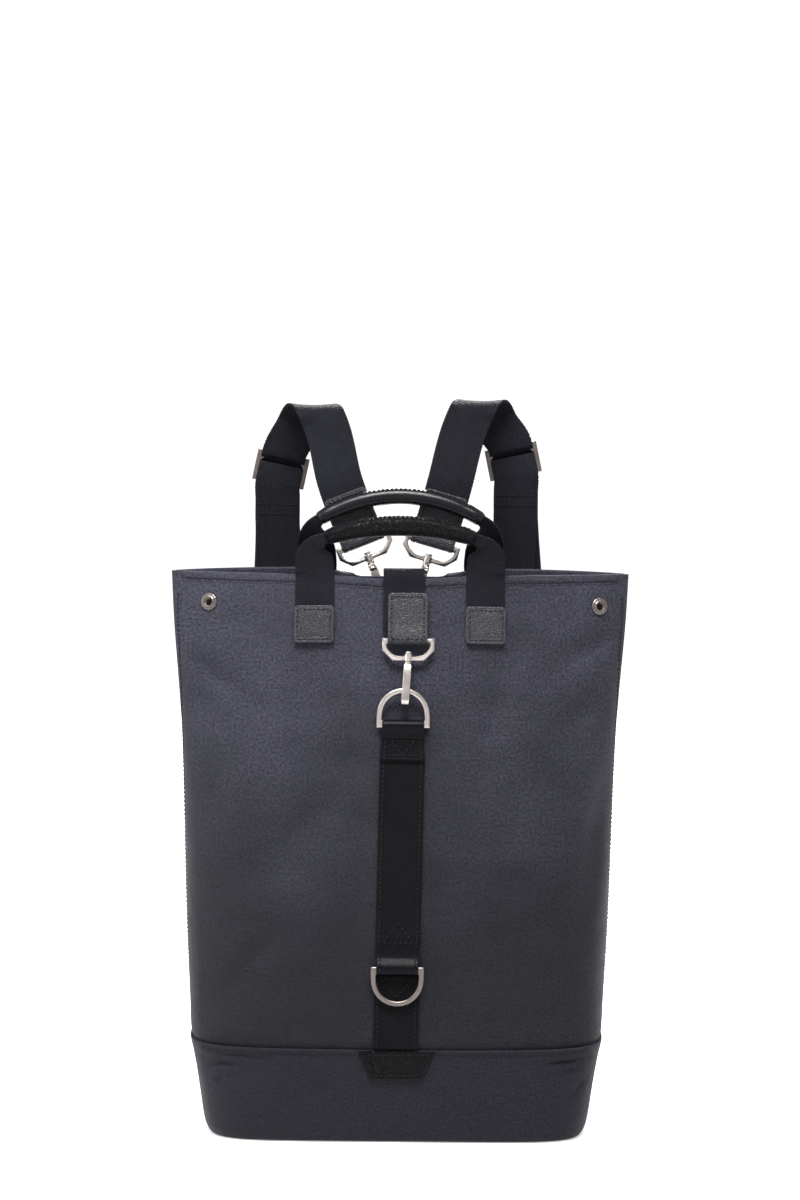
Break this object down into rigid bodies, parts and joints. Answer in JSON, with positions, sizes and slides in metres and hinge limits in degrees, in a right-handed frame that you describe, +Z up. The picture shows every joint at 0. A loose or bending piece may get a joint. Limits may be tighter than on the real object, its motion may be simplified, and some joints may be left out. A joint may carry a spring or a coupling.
{
  "type": "convertible backpack",
  "caption": "Upright canvas tote that converts to a backpack, with a darker base band, snap-hook closure over the mouth, carrying handles and slider shoulder straps.",
  "frame": {"origin": "middle of the underside of the base, on the surface that the bag stands on", "axes": "+Z up, the bag's height; +X to the right seen from the front; +Y to the back, where the shoulder straps are"},
  "size_m": [0.3744, 0.1777, 0.5983],
  "materials": {
    "canvas": "tightly woven coated canvas, dull sheen",
    "band_canvas": "darker woven canvas, matte",
    "dark_webbing": "twill webbing, matte",
    "pebbled_leather": "pebbled, satin",
    "grip_leather": "smooth, satin",
    "aged_nickel": "antique nickel plating, satin",
    "dark_nickel": "dark antique nickel plating, satin"
  },
  "bodies": {
    "bag": {"bag_body": "canvas", "base_band": "band_canvas", "closure_strap": "dark_webbing", "closure_tab": "pebbled_leather", "closure_hook_frame": "aged_nickel", "closure_hook": "aged_nickel", "front_strip": "dark_webbing", "lower_strip": "dark_webbing", "upper_ring": "aged_nickel", "label_patch": "pebbled_leather", "snap_left": "aged_nickel", "snap_right": "aged_nickel", "front_handle_webbing": "dark_webbing", "front_handle_grip": "grip_leather", "front_handle_patch_left": "pebbled_leather", "front_handle_patch_right": "pebbled_leather", "rear_handle_webbing": "dark_webbing", "rear_handle_grip": "grip_leather", "rear_handle_patch_left": "pebbled_leather", "rear_handle_patch_right": "pebbled_leather", "rear_ring": "aged_nickel", "rear_ring_keeper": "dark_webbing", "shoulder_strap_left": "dark_webbing", "strap_tab_left": "pebbled_leather", "shoulder_frame_left": "aged_nickel", "shoulder_hook_left": "aged_nickel", "slider_left": "dark_nickel", "strap_ring_left": "dark_nickel", "strap_ring_tab_left": "dark_webbing", "shoulder_strap_right": "dark_webbing", "strap_tab_right": "pebbled_leather", "shoulder_frame_right": "aged_nickel", "shoulder_hook_right": "aged_nickel", "slider_right": "dark_nickel", "strap_ring_right": "dark_nickel", "strap_ring_tab_right": "dark_webbing"},
    "closure_gate": {"closure_hook_gate": "aged_nickel"},
    "lower_ring": {"lower_ring": "dark_nickel"},
    "left_gate": {"shoulder_gate_left": "aged_nickel"},
    "right_gate": {"shoulder_gate_right": "aged_nickel"}
  },
  "joints": [
    {"name": "closure_gate_hinge", "type": "hinge", "parent": "bag", "child": "closure_gate", "pos_m": [0.00643, -0.05153, 0.38335], "axis": [-0.998, 0.016, 0.061], "range_deg": [0, 24], "stiffness_Nm_per_rad": 0.05, "springref_deg": -11.46},
    {"name": "left_gate_hinge", "type": "hinge", "parent": "bag", "child": "left_gate", "pos_m": [-0.02248, 0.00293, 0.46103], "axis": [0.927, 0, 0.375], "range_deg": [0, 24], "stiffness_Nm_per_rad": 0.05, "springref_deg": -11.46},
    {"name": "right_gate_hinge", "type": "hinge", "parent": "bag", "child": "right_gate", "pos_m": [0.02003, 0.00293, 0.45954], "axis": [0.9611, 0, -0.276], "range_deg": [0, 24], "stiffness_Nm_per_rad": 0.05, "springref_deg": -11.46},
    {"name": "lower_ring_swing", "type": "hinge", "parent": "bag", "child": "lower_ring", "pos_m": [0.0004, -0.08218, 0.14525], "axis": [-1, 0, 0], "range_deg": [0, 150]}
  ]
}
